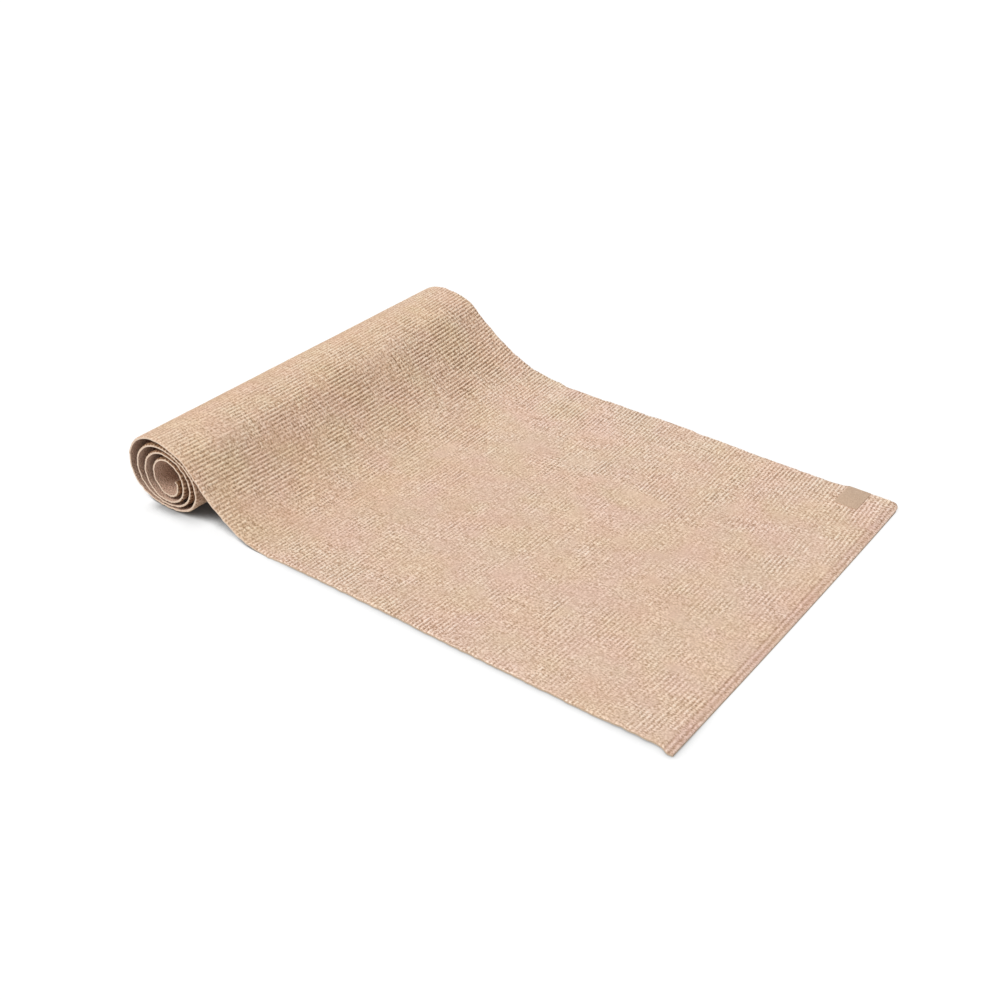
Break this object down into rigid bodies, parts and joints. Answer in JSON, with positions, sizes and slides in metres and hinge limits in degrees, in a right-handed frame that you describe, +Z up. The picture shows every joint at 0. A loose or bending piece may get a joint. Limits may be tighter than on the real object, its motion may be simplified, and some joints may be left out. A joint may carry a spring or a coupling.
{
  "type": "yoga mat",
  "caption": "Beige foam yoga mat, ribbed on top, partly unrolled: a loose roll at one end, a ramp down, a flat stretch and a plain label at the free end.",
  "frame": {"origin": "on the floor, under the middle of the whole mat's box", "axes": "+X from the roll towards the free end, +Y across the mat from the near long edge to the far one, where the label is, +Z up"},
  "size_m": [0.8274, 0.61, 0.0991],
  "materials": {
    "upper_coat": "matt foamed resin with cross ribs and a woven look",
    "woven_scrim": "plain woven yarn mesh",
    "lower_coat": "matt foamed resin, finely grained for grip",
    "label_patch": "smooth calendered sheet, blank",
    "label_adhesive": "clear bonding film"
  },
  "bodies": {
    "root": {"upper_coat": "upper_coat", "woven_scrim": "woven_scrim", "lower_coat": "lower_coat", "label_patch": "label_patch", "label_adhesive": "label_adhesive"}
  },
  "joints": []
}
